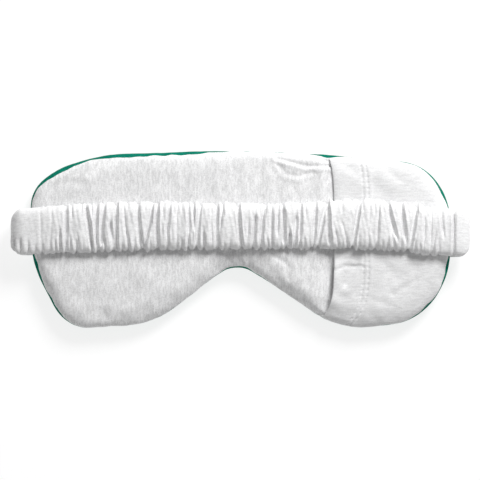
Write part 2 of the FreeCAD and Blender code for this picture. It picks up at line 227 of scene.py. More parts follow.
def sink(piece, rule):
    """Moves every vertex in along its normal, by what a rule says for rows of x, y, z."""
    points = get_points(piece)
    set_points(piece, points - get_normals(piece) * rule(points)[:, None])
    return piece


def subdivide(piece):
    """Divides each face in four on a smooth surface."""
    return modify(piece, "SUBSURF", levels=1, render_levels=1)


def weigh(piece, name, weights):
    """Gives a piece a vertex group with these weights."""
    group = piece.vertex_groups.new(name=name)
    for index, weight in enumerate(weights):
        group.add([index], float(weight), "REPLACE")


def cap_holes(piece):
    """Closes a piece's open ends with flat faces."""
    bm = bmesh.new()
    bm.from_mesh(piece.data)
    rims = [edge for edge in bm.edges if edge.is_boundary]
    caps = bmesh.ops.holes_fill(bm, edges=rims, sides=0)["faces"]
    bmesh.ops.triangulate(bm, faces=caps)
    bmesh.ops.recalc_face_normals(bm, faces=bm.faces[:])
    bm.to_mesh(piece.data)
    bm.free()
    return piece


def ramp(values, low, high):
    """0 below low, 1 above high and a smooth step between."""
    share = np.clip((values - low) / (high - low), 0, 1)
    return share * share * (3 - 2 * share)


def wave_noise(x, y, seed, scale):
    """Smooth noise from -1 to 1: a few crossed waves whose lengths are near a scale."""
    pick = random.Random(seed)
    total = np.zeros_like(x)
    for _ in range(7):
        turn = pick.uniform(0, math.pi)
        length = scale * pick.uniform(0.7, 1.6)
        phase = pick.uniform(0, 2 * math.pi)
        total += np.sin((x * math.cos(turn) + y * math.sin(turn)) * 2 * math.pi / length + phase)
    return total / 4




# ------------------------------------------------------------------ the cover's shape


def outline_wall(height, inset=0.0):
    """The cover's outline, or one inset from it, as an upright wall from the table up.

    The wadding's upper rim follows the outline a little inside it, so it is raised into a wall and moved out.
    """
    bm = bmesh.new()
    bm.from_mesh(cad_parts["wadding"].data)
    bmesh.ops.remove_doubles(bm, verts=bm.verts[:], dist=0.001 * MM)
    top = max(vert.co.z for vert in bm.verts)
    others = [face for face in bm.faces if min(vert.co.z for vert in face.verts) < top - 0.01 * MM]
    bmesh.ops.delete(bm, geom=others, context="FACES")
    bmesh.ops.dissolve_faces(bm, faces=bm.faces[:])
    bmesh.ops.delete(bm, geom=bm.faces[:], context="FACES_ONLY")
    bmesh.ops.translate(bm, verts=bm.verts[:], vec=(0, 0, -top))
    for _ in range(6):
        long_edges = [edge for edge in bm.edges if edge.calc_length() > 2 * MM]
        bmesh.ops.subdivide_edges(bm, edges=long_edges, cuts=1)
    raised = bmesh.ops.extrude_edge_only(bm, edges=bm.edges[:])["geom"]
    upper = [item for item in raised if isinstance(item, bmesh.types.BMVert)]
    bmesh.ops.translate(bm, verts=upper, vec=(0, 0, height))
    bmesh.ops.recalc_face_normals(bm, faces=bm.faces[:])
    side = max(bm.verts, key=lambda vert: vert.co.x)
    rim_gap = math.copysign(HALF_WIDE - inset - side.co.x, side.normal.x * (HALF_WIDE - inset - side.co.x))
    for vert in bm.verts:
        vert.co += vert.normal * rim_gap
    return bm


WALL = BVHTree.FromBMesh(outline_wall(1 * MM))


def rim_distance(points):
    """How far each point is from the outline in plan."""
    return np.array([WALL.find_nearest((x, y, 0.5 * MM))[3] for x, y, _ in points])


def rounded_slab(name, inset, low, high, rounding, voxel):
    """A closed skin with the outline's shape, upright sides and rounded rims."""
    bm = outline_wall(high - low, inset)
    rims = [edge for edge in bm.edges if abs(edge.verts[0].co.z - edge.verts[1].co.z) < 1e-7]
    bmesh.ops.holes_fill(bm, edges=rims, sides=0)
    bmesh.ops.recalc_face_normals(bm, faces=bm.faces[:])
    bmesh.ops.bevel(bm, geom=rims, offset=rounding, segments=6, affect="EDGES", profile=0.5, material=-1)
    bmesh.ops.translate(bm, verts=bm.verts[:], vec=(0, 0, low))
    return modify(new_piece(name, bm), "REMESH", mode="VOXEL", voxel_size=voxel)


RIM_SQUEEZE = 0.22
RIM_REACH = 12 * MM


def crown(points):
    """Lets the thickness fall off towards the outline, as in a pad that is sewn shut round its rim."""
    share = 1 - RIM_SQUEEZE * np.exp(-rim_distance(points) / RIM_REACH)
    points[:, 2] = SEAM_LEVEL + (points[:, 2] - SEAM_LEVEL) * share
    return points


SIM_SCALE = 10.0  # cloth is simulated ten times larger, where the solver is at its steadiest


def inflate(piece, pressure, slack, cap, frames):
    """Lets a closed skin of cloth fill out while its seam is held, each point within a cap of where it was.

    slack is how much larger than the skin the cloth was cut, as a share of its length.
    """
    before = get_points(piece)
    seam = np.flatnonzero(np.abs(before[:, 2] - SEAM_LEVEL) < 0.9 * MM)
    held = piece.vertex_groups.new(name="seam")
    held.add(seam.tolist(), 1.0, "REPLACE")
    piece.data.transform(Matrix.Scale(SIM_SCALE, 4))
    cloth = piece.modifiers.new("cloth", "CLOTH")
    fabric = cloth.settings
    fabric.quality = 5
    fabric.mass = 0.3
    fabric.tension_stiffness = 25
    fabric.compression_stiffness = 25
    fabric.shear_stiffness = 12
    fabric.bending_stiffness = 0.5
    fabric.use_pressure = True
    fabric.uniform_pressure_force = pressure
    fabric.shrink_min = -slack
    fabric.vertex_group_mass = "seam"
    fabric.effector_weights.gravity = 0
    cloth.collision_settings.use_collision = False
    cloth.point_cache.frame_start = 1
    cloth.point_cache.frame_end = frames
    for step in range(1, frames + 1):
        bpy.context.scene.frame_set(step)
    settle(piece)
    bpy.context.scene.frame_set(1)
    piece.data.transform(Matrix.Scale(1 / SIM_SCALE, 4))
    piece.vertex_groups.clear()
    step = get_points(piece) - before
    length = np.linalg.norm(step, axis=1, keepdims=True)
    points = before + step * np.minimum(1, cap / np.maximum(length, 1e-9))
    points[:, 2] = np.clip(points[:, 2], 0, COVER_TOP)
    set_points(piece, points)
    return piece


# where the face cloth rolls up over the rim: x, y, how far round it reaches, how high it comes, in mm
ROLLS = [
    (-98, 36, 26, 3.6),
    (-62, 48, 28, 3.6),
    (-28, 49, 20, 2.9),
    (-113, -14, 15, 2.6),
    (-100, -33, 15, 2.2),
    (0, -12, 12, 1.6),
    (49, 47, 7, 2.8),
    (108, 28, 17, 2.3),
    (114, -15, 14, 2.9),
    (101, -34, 13, 2.1),
]


def seam_level(points):
    """The height of the side seam near each point."""
    total = np.zeros(len(points))
    for x, y, reach, rise in ROLLS:
        gap = np.hypot(points[:, 0] - x * MM, points[:, 1] - y * MM) / (reach * MM)
        total += (rise * np.exp(-gap * gap)) ** 4
    return SEAM_LEVEL + total**0.25 * MM


def above_seam(points):
    """0 on the strip that is turned in behind the seam, and 1 from a little above it."""
    return ramp(points[:, 2] - seam_level(points), 0.8 * MM, 3.0 * MM)


def seam_draw(points):
    """How far the seam's thread draws the cloth in, with small puckers along it."""
    level = (points[:, 2] - seam_level(points)) / (1.3 * MM)
    near = 1 - ramp(rim_distance(points), 3 * MM, 6 * MM)
    puckers = 1 + 0.4 * wave_noise(points[:, 0], points[:, 1], 3, 7 * MM)
    return 0.75 * MM * near * puckers * np.exp(-level * level)


# creases in the back cloth: how deep, how wide, and the line each follows, in mm, with its bank on the left
MAIN_CREASES = [
    (0.9, 1.0, [(58, 40.6), (36, 40.2), (20, 44.6)]),
    (0.5, 1.2, [(39.5, 37), (32, 34.6), (25, 36), (20, 42)]),
    (0.5, 1.6, [(-4, -4), (-1.5, -10), (0.8, -14.5)]),
    (-0.4, 1.2, [(1.6, -5), (2.2, -11), (3.4, -15)]),
    (0.35, 1.2, [(4.2, -8), (4.2, -15)]),
    (0.4, 1.3, [(-9, -6), (-6, -11), (-3.5, -14)]),
    (0.5, 1.4, [(19, -9), (24.5, -12.5), (26.6, -16), (26.2, -21)]),
    (0.4, 1.8, [(36, -9), (38, -16), (36, -24)]),
    (0.25, 1.8, [(-104, 28), (-96, 32), (-86, 31)]),
]
FLAP_CREASES = [
    (0.7, 2.0, [(66, -4), (62.5, -15), (57.5, -24)]),
    (0.4, 1.2, [(46, -17), (53, -16.6), (57, -14.4), (60, -14.2)]),
    (0.35, 1.0, [(62, -14.6), (66.5, -14.4)]),
    (0.25, 1.6, [(84, -30), (96, -22)]),
    (0.25, 1.8, [(72, -33), (83, -36)]),
]


def line_gap(points, line):
    """How far each point is in plan from a line of straight runs, and the same with the left side positive."""
    best = np.full(len(points), 1.0)
    signed = np.zeros(len(points))
    for start, end in zip(line, line[1:]):
        run = (np.array(end) - np.array(start)) * MM
        offset = points[:, :2] - np.array(start) * MM
        share = np.clip(offset @ run / (run @ run), 0, 1)
        gap = np.linalg.norm(offset - share[:, None] * run, axis=1)
        side = np.sign(run[0] * offset[:, 1] - run[1] * offset[:, 0])
        signed = np.where(gap < best, gap * side, signed)
        best = np.minimum(best, gap)
    return best, signed


def crease_relief(points, creases):
    """How deep a panel's creases are at each point."""
    depth = np.zeros(len(points))
    for deep, wide, line in creases:
        gap, signed = line_gap(points, line)
        groove = np.exp(-((gap / (wide * MM)) ** 2))
        bank = np.exp(-(((signed - 1.9 * wide * MM) / (1.3 * wide * MM)) ** 2))
        near = 1 - ramp(gap, 2.5 * wide * MM, 5 * wide * MM)
        depth += deep * MM * (groove - 0.55 * bank * near)
    return depth * above_seam(points)


def back_relief(points):
    """How deep the soft hollows of the stuffed back are at each point."""
    x, y = points[:, 0], points[:, 1]
    depth = 0.22 * MM * wave_noise(x, y, 11, 24 * MM)
    depth += 0.07 * MM * wave_noise(x * 0.6, y, 12, 8 * MM)
    return depth * ramp(points[:, 2], 8 * MM, 11 * MM)


def cover_skin():
    """The whole cover as one closed skin: crowned, filled out, creased and drawn in along its seam."""
    skin = rounded_slab("cover_skin", 0, 0, COVER_TOP, 6 * MM, 1.5 * MM)
    reshape(skin, crown)
    # the skin starts a little thin, for the filling to swell, and a little wide, for the seam to draw in
    middle = Matrix.Translation((0, 0, SEAM_LEVEL))
    skin.data.transform(middle @ Matrix.Diagonal((1.006, 1.010, 0.93, 1)) @ middle.inverted())
    inflate(skin, pressure=0.2, slack=0.01, cap=1.2 * MM, frames=10)
    modify(skin, "SMOOTH", factor=0.5, iterations=4)
    subdivide(skin)
    sink(skin, back_relief)
    sink(skin, seam_draw)
    return skin


# ------------------------------------------------------------------ the cover's panels

CLOTH = 0.7 * MM
SEAM_FLANGE = 5 * MM
HEM = 20 * MM
HEM_CLOTH = 1.6 * MM
LAP_DROP = 1.8 * MM


def turn_in(piece):
    """Gives the cut edge along the side seam the strip of cloth that is turned in behind the seam."""
    bm = bmesh.new()
    bm.from_mesh(piece.data)
    bm.normal_update()
    rim = [edge for edge in bm.edges if edge.is_boundary]
    ways = {}
    for vert in {vert for edge in rim for vert in edge.verts}:
        ways[vert.co.to_tuple(7)] = -Vector((vert.normal.x, vert.normal.y, 0)).normalized()
    grown = bmesh.ops.extrude_edge_only(bm, edges=rim)["geom"]
    for item in grown:
        if isinstance(item, bmesh.types.BMVert):
            item.co += ways[item.co.to_tuple(7)] * SEAM_FLANGE
    bm.to_mesh(piece.data)
    bm.free()
    return piece


def split_at_seam(skin, name, normal):
    """The half of the cover's skin on one side of the side seam, which isn't level."""
    half = copy_of(skin, name)
    points = get_points(half)
    rise = seam_level(points) - SEAM_LEVEL
    points[:, 2] -= rise
    set_points(half, points)
    slice_off(half, (0, 0, SEAM_LEVEL), normal)

    def raised(rows):
        # the roll depends on x and y alone, so the cut half is raised by the same rule
        rows[:, 2] += seam_level(rows) - SEAM_LEVEL
        return rows

    return reshape(half, raised)


def edge_sway(points):
    """How far the flap's edge lies to the right of a straight line, at each point's height in plan."""
    y = points[:, 1] / (48 * MM)
    return (0.6 - np.where(y > 0, 3.8, 11) * np.abs(y) ** 5) * MM


def from_flap(points):
    """How far right of the flap's own edge each point is."""
    return points[:, 0] - edge_sway(points) - FLAP_EDGE


def swayed(piece, way):
    """Shears a piece so that the flap's edge is straight, or with way = -1 back again."""

    def sheared(points):
        points[:, 0] -= way * edge_sway(points)
        return points

    return reshape(piece, sheared)


def make_front(skin):
    """The teal face cloth, with its seam strip turned in."""
    front = split_at_seam(skin, "cover_front", (0, 0, 1))
    turn_in(front)
    modify(front, "SOLIDIFY", thickness=CLOTH, offset=-1)
    return smooth(front)


def lap_dip(points):
    """How deep the left panel goes to pass under the flap, deepest by the flap's edge below the strap."""
    beyond = from_flap(points)
    dip = LAP_DROP * ramp(beyond, -6.5 * MM, 0)
    low_part = ramp(-points[:, 1], 2 * MM, 22 * MM)
    mouth = np.exp(-((beyond / (6 * MM)) ** 2)) * ramp(rim_distance(points), 2 * MM, 9 * MM)
    return (dip + 2.0 * MM * low_part * mouth) * above_seam(points)


def make_back_main(skin):
    """The left back panel, which runs on under the flap."""
    main = split_at_seam(skin, "back_main", (0, 0, -1))
    turn_in(main)
    swayed(main, 1)
    slice_off(main, (LAP_END, 0, 0), (1, 0, 0))
    swayed(main, -1)
    sink(main, lap_dip)
    sink(main, lambda points: crease_relief(points, MAIN_CREASES))
    modify(main, "SOLIDIFY", thickness=CLOTH, offset=-1)
    return smooth(main)


THREAD_LOW, THREAD_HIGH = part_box("flap_hem_stitches")
HEM_ROWS = [THREAD_LOW.x + 0.2 * MM - FLAP_EDGE, THREAD_HIGH.x - 0.2 * MM - FLAP_EDGE]
STITCH_PITCH = 3.1 * MM


def flap_relief(points):
    """The flap's rounded free edge, which lifts a little below the strap, and its two rows of stitch dents."""
    beyond = from_flap(points)
    depth = 0.5 * MM * np.exp(-beyond / (0.8 * MM))
    lift = ramp(-points[:, 1], 8 * MM, 18 * MM) * ramp(rim_distance(points), 1 * MM, 12 * MM)
    depth -= 1.5 * MM * lift * np.exp(-((beyond / (5 * MM)) ** 2))
    for row in HEM_ROWS:
        across = (beyond - row) / (0.6 * MM)
        beat = 0.5 + 0.5 * np.cos(2 * math.pi * points[:, 1] / STITCH_PITCH)
        depth += 0.5 * MM * np.exp(-across * across) * (0.3 + 0.7 * beat**4)
    ridge = (beyond - sum(HEM_ROWS) / 2) / (0.8 * MM)
    depth -= 0.12 * MM * np.exp(-ridge * ridge)
    step = (beyond - HEM) / (1.4 * MM)
    depth -= 0.18 * MM * np.exp(-step * step)
    return depth * above_seam(points)


def make_flap(skin):
    """The right back panel, hemmed along its free edge, which lies over the left one."""
    flap = split_at_seam(skin, "back_flap", (0, 0, -1))
    turn_in(flap)
    swayed(flap, 1)
    slice_off(flap, (FLAP_EDGE, 0, 0), (-1, 0, 0))
    swayed(flap, -1)
    subdivide(flap)
    sink(flap, lambda points: crease_relief(points, FLAP_CREASES))
    sink(flap, flap_relief)
    points = get_points(flap)
    hemmed = 1 - ramp(from_flap(points), HEM - 0.5 * MM, HEM + 0.5 * MM)
    weigh(flap, "hem", hemmed)
    least = CLOTH / HEM_CLOTH
    modify(flap, "SOLIDIFY", thickness=HEM_CLOTH, offset=-1, vertex_group="hem", thickness_vertex_group=least)
    flap.vertex_groups.clear()
    return smooth(flap)


# ------------------------------------------------------------------ stitches

THREAD_WIDE = 0.5 * MM
STITCH_LENGTH = 2.3 * MM


def sew(name, stitches):
    """Short slubs of thread, each given as its middle, its run and the way it faces."""
    bm = bmesh.new()
    for middle, run, facing in stitches:
        along = Vector(run).normalized()
        across = along.cross(Vector(facing)).normalized()
        up = across.cross(along)
        turn = Matrix((across, along, up)).transposed().to_4x4()
        size = Matrix.Diagonal((THREAD_WIDE / 2, STITCH_LENGTH / 2, THREAD_WIDE * 0.42, 1))
        place = Matrix.Translation(middle) @ turn @ size
        bmesh.ops.create_uvsphere(bm, u_segments=6, v_segments=5, radius=1, matrix=place)
    return smooth(new_piece(name, bm))


def dropped(piece, places, way):
    """Where rays from these places meet a piece, with its normals there."""
    tree = BVHTree.FromObject(piece, bpy.context.evaluated_depsgraph_get())
    found = []
    for place in places:
        spot, normal, _, _ = tree.ray_cast(Vector(place), Vector(way))
        if spot is not None:
            found.append((spot, normal))
    return found


def hem_thread(piece, offset, low, high):
    """A row of stitches down a panel, at an offset from the flap's edge."""
    count = int((high - low) / STITCH_PITCH)
    rows = np.array([[0, low + (index + 0.5) * STITCH_PITCH, 0] for index in range(count)])
    rows[:, 0] = FLAP_EDGE + offset + edge_sway(rows)
    starts = [(x, y, 2 * COVER_TOP) for x, y, _ in rows]
    return [(spot, (0, 1, 0), normal) for spot, normal in dropped(piece, starts, (0, 0, -1))]


def make_hem_threads(flap, main):
    """The flap's twin rows, and the one row of the hidden hem of the left panel."""
    low = -14.5 * STITCH_PITCH
    high = 13.5 * STITCH_PITCH
    twin = [stitch for row in HEM_ROWS for stitch in hem_thread(flap, row, low, high)]
    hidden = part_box("main_hem_stitches")[0].x - FLAP_EDGE
    return sew("flap_hem_thread", twin), sew("main_hem_thread", hem_thread(main, hidden, low, high))


# ------------------------------------------------------------------ the strap

CASING_THICK = 5.6 * MM
CASING_WALL = 0.45 * MM
ELASTIC_WIDE = 17 * MM
ELASTIC_THICK = 0.9 * MM
SPLIT_X = -0.7 * MM  # where the strap's two halves meet, in a deep crease
LOOP_FROM = {"left": -95.35 * MM, "right": 116.6 * MM}  # where the loops begin, each in a crease
FOLD_LENGTH = math.pi * FOLD_RADIUS
ROOT_LENGTH = FOLD_X - 108.3 * MM

# the strap's edges in plan, in mm: x, the edge towards the brow, the edge towards the cheeks
STRAP_EDGES = [
    (-125, 16.6, -8.6),
    (-100, 18.4, -7.2),
    (-70, 20.0, -6.2),
    (-40, 20.5, -5.2),
    (-10, 19.6, -5.0),
    (20, 19.2, -4.8),
    (45, 20.6, -4.6),
    (68, 22.0, -5.0),
    (86, 20.4, -5.8),
    (97, 18.6, -7.2),
    (104, 17.4, -8.2),
    (125, 16.6, -9.6),
]

# creases across the casing, in mm: x at the brow edge, x at the cheek edge, depth, and the stretch they
# run over, from 0 at the cheek edge to 1 at the brow edge
GATHERS = [
    (-121.5, -123.5, 0.7, 0.0, 0.35),
    (-118.5, -119.6, 0.8, 0.0, 0.3),
    (-116.8, -115.6, 0.7, 0.0, 0.25),
    (-109.5, -108.8, 0.25, 0.0, 1.0),
    (-103.0, -104.0, 0.2, 0.1, 1.0),
    (-98.4, -98.6, 0.8, 0.0, 0.45),
    (-95.3, -95.4, 1.0, 0.0, 1.0),
    (-90.4, -87.6, 0.3, 0.0, 0.35),
    (-84.4, -80.6, 1.4, 0.05, 0.95),
    (-78.6, -78.2, 1.0, 0.0, 1.0),
    (-74.4, -75.8, 1.0, 0.1, 1.0),
    (-73.0, -69.4, 1.6, 0.0, 0.55),
    (-67.5, -67.4, 1.8, 0.0, 1.0),
    (-63.6, -60.8, 0.5, 0.0, 0.9),
    (-57.8, -52.4, 0.9, 0.0, 0.35),
    (-55.8, -54.2, 1.1, 0.1, 1.0),
    (-47.6, -52.6, 1.1, 0.0, 1.0),
    (-45.2, -45.0, 1.6, 0.0, 1.0),
    (-40.5, -39.6, 0.7, 0.0, 0.5),
    (-38.2, -40.4, 0.8, 0.35, 1.0),
    (-34.4, -34.6, 0.35, 0.0, 1.0),
    (-28.5, -28.4, 0.7, 0.0, 1.0),
    (-25.6, -24.6, 0.7, 0.45, 1.0),
    (-22.2, -24.2, 1.8, 0.0, 1.0),
    (-19.4, -19.9, 0.6, 0.0, 0.4),
    (-15.9, -15.2, 0.4, 0.1, 0.9),
    (-12.9, -12.9, 1.0, 0.0, 1.0),
    (-9.4, -12.3, 0.6, 0.45, 1.0),
    (-1.1, 1.0, 1.7, 0.0, 1.0),
    (5.2, 3.4, 0.5, 0.2, 0.6),
    (9.0, 6.4, 0.9, 0.0, 0.75),
    (13.4, 11.0, 1.2, 0.0, 1.0),
    (17.4, 17.4, 0.7, 0.0, 1.0),
    (20.8, 20.4, 0.7, 0.3, 1.0),
    (23.3, 23.9, 0.9, 0.1, 0.9),
    (27.2, 26.6, 1.2, 0.0, 0.35),
    (31.0, 29.4, 1.8, 0.0, 0.7),
    (33.2, 32.4, 0.9, 0.2, 1.0),
    (40.9, 39.6, 1.2, 0.0, 1.0),
    (47.4, 42.0, 1.4, 0.0, 1.0),
    (47.7, 49.4, 1.9, 0.1, 1.0),
    (48.4, 53.6, 0.7, 0.0, 0.4),
    (52.4, 58.6, 0.5, 0.0, 0.5),
    (65.6, 61.6, 1.8, 0.0, 1.0),
    (71.0, 68.4, 0.3, 0.2, 1.0),
    (76.2, 74.6, 0.6, 0.2, 1.0),
    (80.2, 87.4, 1.3, 0.3, 1.0),
    (87.2, 82.2, 0.6, 0.0, 0.5),
    (88.0, 91.4, 1.2, 0.25, 1.0),
    (96.2, 92.2, 1.9, 0.0, 1.0),
    (100.6, 99.8, 0.5, 0.1, 1.0),
    (104.4, 103.4, 0.4, 0.2, 1.0),
    (109.6, 111.6, 0.9, 0.45, 1.0),
    (108.0, 104.4, 0.7, 0.0, 0.45),
    (117.0, 116.3, 1.1, 0.0, 1.0),
]


def strap_edges(along):
    """The strap's two edges in plan at each place along it."""
    x, brow, cheek = (np.array(column) * MM for column in zip(*STRAP_EDGES))
    return np.interp(along, x, brow), np.interp(along, x, cheek)


def edge_pleats():
    """The small pleats that the casing's seams pull up along its two edges, by seeded chance."""
    pick = random.Random(21)
    pleats = []
    place = -112.0
    while place < 112:
        reach = pick.uniform(0.1, 0.3)
        lean = pick.uniform(-2.5, 2.5)
        pleats.append((place + lean, place, pick.uniform(0.3, 1.2), 0.0, reach))
        place += pick.uniform(2.6, 5.2)
    place = -92.0
    while place < 108:
        reach = pick.uniform(0.12, 0.25)
        lean = pick.uniform(-1.5, 1.5)
        pleats.append((place, place + lean, pick.uniform(0.4, 0.9), 1 - reach, 1.0))
        place += pick.uniform(3.4, 6.4)
    return pleats


def under_gathers():
    """The creases of the casing's underside, by seeded chance."""
    pick = random.Random(8)
    creases = []
    place = -106.0
    while place < 110:
        creases.append((place, place + pick.uniform(-3, 3), pick.uniform(0.6, 1.5), 0.0, 1.0))
        place += pick.uniform(4.0, 8.5)
    return creases


def crease_depth(creases, along, height):
    """How deep a list of creases is at places along the strap, and how freely the cloth billows there.

    height runs from 0 to 1 between the strap's edges. The billow is 0 in a crease and 1 far from any.
    """
    depth = np.zeros_like(along)
    nearest = np.full_like(along, 9.0)
    for brow, cheek, deep, low, high in creases:
        bow = 0.35 * math.sin(brow * 1.7) * np.sin(math.pi * height)
        line = (cheek + (brow - cheek) * height + bow) * MM
        gap = along - line
        share = ramp(height, low - 0.14, low + 0.1) if low > 0 else 1.0
        share = share * (1 - ramp(height, high - 0.1, high + 0.14)) if high < 1 else share
        edge = np.abs(gap) / MM
        valley = 1.0 * np.exp(-((edge / (0.32 + 0.18 * deep)) ** 1.3)) + 0.3 * np.exp(-((edge / 1.4) ** 2))
        bank = 0.34 * np.exp(-(((edge - 1.5) / 0.7) ** 2))
        nearest = np.minimum(nearest, edge + 6 * (1 - share * min(deep, 1)))
        lap = 0.55 * math.cos(3.1 * brow) * np.sign(gap) * np.exp(-edge / 2.4) * (1 - np.exp(-edge / 0.25))
        depth += deep * share * (valley - bank + lap)
    return depth * MM, 1 - np.exp(-((nearest / 1.9) ** 2))


PLEATS = edge_pleats()
UNDER_GATHERS = under_gathers()


def ruffle(along, height, upper):
    """How far the gathered casing's skin stands out along and across it; upper is 1 on its upper side."""
    above, billow = crease_depth(GATHERS, along, height)
    below, _ = crease_depth(UNDER_GATHERS, along, height)
    pleats, _ = crease_depth(PLEATS, along, height)
    depth = 1.35 * above * upper + below * (1 - upper) + pleats
    middle = 1 - ramp(np.abs(along), 98 * MM, 112 * MM)
    soft = 0.36 * wave_noise(along, height * 12 * MM, 31, 9 * MM) * middle
    fine = 0.22 * wave_noise(along, height * 14 * MM, 32, 2.9 * MM) * (0.3 + 0.7 * middle)
    swell = (1.3 * (billow - 0.5) + 0.3) * upper * middle
    out = (soft + fine + swell) * MM - depth
    return np.clip(out, -1.8 * MM, 2.0 * MM)


def band_section(around, wide, thick):
    """Points on a flat band's rounded section: across, up and the outward normal. around runs from 0 to 1."""
    radius = thick / 2
    flat = wide / 2 - radius
    arc = math.pi * radius
    gone = around * (4 * flat + 2 * arc)
    first = np.clip((gone - flat) / radius, 0, math.pi) - math.pi / 2
    second = np.clip((gone - 3 * flat - arc) / radius, 0, math.pi) + math.pi / 2
    turn = np.where(gone < 2 * flat + arc, first, second)
    back = np.clip(gone - flat - arc, 0, 2 * flat)
    last = np.clip(gone - 3 * flat - 2 * arc, 0, flat)
    straight = np.clip(gone, 0, flat) - back + last
    face_across = np.cos(first) + np.cos(second)
    return straight + radius * face_across, radius * np.sin(turn), face_across, np.sin(turn)


def strap_path(along, side):
    """Where the strap's middle line is at a place along it, and the way its upper face looks.

    Past the fold's beginning, along goes on round the fold and back in to the side seam.
    """
    beyond = side * along - FOLD_X
    angle = np.clip(beyond / FOLD_RADIUS, 0, math.pi)
    middle = (RUN_LEVEL + SEAM_LEVEL) / 2
    out = np.minimum(side * along, FOLD_X) + FOLD_RADIUS * np.sin(angle) - np.maximum(beyond - FOLD_LENGTH, 0)
    return side * out, middle + FOLD_RADIUS * np.cos(angle), side * np.sin(angle), np.cos(angle), angle


def make_band(name, side, start, end, step, rows, elastic):
    """A stretch of the strap between two places along it: the gathered casing, or the elastic in it."""
    columns = math.ceil(abs(end - start) / step)
    bm = bmesh.new()
    bm.loops.layers.uv.new("UVMap")
    bmesh.ops.create_grid(bm, x_segments=columns, y_segments=rows, size=0.5, calc_uvs=True)
    piece = new_piece(name, bm)
    grid = get_points(piece)
    along = start + (end - start) * (grid[:, 0] + 0.5)
    around = np.clip(grid[:, 1] + 0.5, 0, 1)
    around = np.where(around > 1 - 1e-6, 0, around)
    x, z, look_x, look_z, angle = strap_path(along, side)
    brow, cheek = strap_edges(along)
    sewn = ramp(angle, 0.7 * math.pi, math.pi)
    wide = (ELASTIC_WIDE if elastic else brow - cheek) + 0 * along
    wide = wide - (0 if elastic else 4.6 * MM) * np.sin(angle) ** 4
    thick = (ELASTIC_THICK if elastic else CASING_THICK) * (1 - (0 if elastic else 0.5) * sewn)
    across, up, face_across, face_up = band_section(around, wide, thick)
    if not elastic:
        height = np.clip(across / wide + 0.5, 0, 1)
        upper = ramp(face_up, -0.7, 0.7)
        hem = np.where(face_across < 0, 0.2, 0.1) * ramp(np.abs(face_across), 0.2, 1.0)
        out = ruffle(along, height, upper) * (1 - 0.8 * sewn) * (1 - hem)
        across = across + face_across * out
        up = up + face_up * out
    # the casing is pinched along its two seamed edges, which droop towards the cloth below
    edge = np.abs(2 * across / wide) ** 4
    up = up * (1 - 0.42 * edge) - 0.9 * MM * edge * (1 - ramp(angle, 0.0, 0.4))
    points = np.column_stack((x + up * look_x, (brow + cheek) / 2 + across, z + up * look_z))
    set_points(piece, points)
    lay_uvs(piece, abs(end - start), 2 * STRAP_WIDE)
    return finish_band(piece, elastic)


def lay_uvs(piece, length, width):
    """Stretches a piece's unit UV map to metres."""
    layer = piece.data.uv_layers[0].data
    flat = np.empty(len(layer) * 2, np.float32)
    layer.foreach_get("uv", flat)
    rows = flat.reshape(-1, 2) * (length, width)
    layer.foreach_set("uv", rows.astype(np.float32).ravel())


def finish_band(piece, elastic):
    """Welds a band's seam, turns its faces out, and gives the casing its wall or the elastic its ends."""
    bm = bmesh.new()
    bm.from_mesh(piece.data)
    bmesh.ops.remove_doubles(bm, verts=bm.verts[:], dist=0.001 * MM)
    bmesh.ops.recalc_face_normals(bm, faces=bm.faces[:])
    bm.to_mesh(piece.data)
    bm.free()
    if elastic:
        cap_holes(piece)
    else:
        modify(piece, "SOLIDIFY", thickness=CASING_WALL, offset=-1)
    return smooth(piece)


STRAP_END = FOLD_X + FOLD_LENGTH + ROOT_LENGTH


def make_strap():
    """Both halves of the gathered run with their elastic, and the loops that go down to the side seams."""
    pieces = {}

    def add(kind, word, side, start, end, step, rows, elastic):
        name = kind + "_" + word
        pieces[name] = make_band(name, side, start, end, step, rows, elastic)

    for word, side in (("left", -1), ("right", 1)):
        edge = LOOP_FROM[word]
        tip = side * STRAP_END
        add("strap_run", word, side, SPLIT_X, edge, 0.21 * MM, 64, False)
        add("strap_loop", word, side, edge, tip, 0.4 * MM, 64, False)
        add("elastic_run", word, side, SPLIT_X, edge, 2.5 * MM, 24, True)
        add("elastic_loop", word, side, edge, tip, 0.8 * MM, 24, True)
    return pieces


def make_casing_thread(name, piece, side):
    """The stitches that close the casing along its lower edge."""
    count = int(94 * MM / STITCH_PITCH)
    places = [(side * (index + 0.6) * STITCH_PITCH, -3 * STRAP_WIDE, RUN_LEVEL) for index in range(count)]
    found = dropped(piece, places, (0, 1, 0))
    return sew(name, [(spot - normal * 0.12 * MM, (1, 0, 0), normal) for spot, normal in found])


# ------------------------------------------------------------------ what is inside the cover

POUCH_INSET = HALF_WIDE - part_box("pouch_front")[1].x + 0.6 * MM
POUCH_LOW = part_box("pouch_front")[0].z + 0.15 * MM
POUCH_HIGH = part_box("pouch_back")[1].z - 0.3 * MM
POUCH_CLOTH = 0.4 * MM
DIVIDER_X = (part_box("pouch_divider")[0].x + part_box("pouch_divider")[1].x) / 2


def lumps(points):
    """The soft lumps that loose seeds make in a pouch, with a dent where the wall in it is sewn."""
    x, y = points[:, 0], points[:, 1]
    dent = 0.7 * MM * np.exp(-(((x - DIVIDER_X) / (2.5 * MM)) ** 2))
    return dent + 0.22 * MM * (1 + wave_noise(x, y, 41, 11 * MM)) + 0.08 * MM * wave_noise(x, y, 42, 4 * MM)


def pouch_skin():
    """The outside of the stuffed pouch as one closed skin."""
    skin = rounded_slab("pouch_skin", POUCH_INSET, POUCH_LOW, POUCH_HIGH, 3 * MM, 1.4 * MM)
    reshape(skin, crown)
    sink(skin, lumps)
    return skin


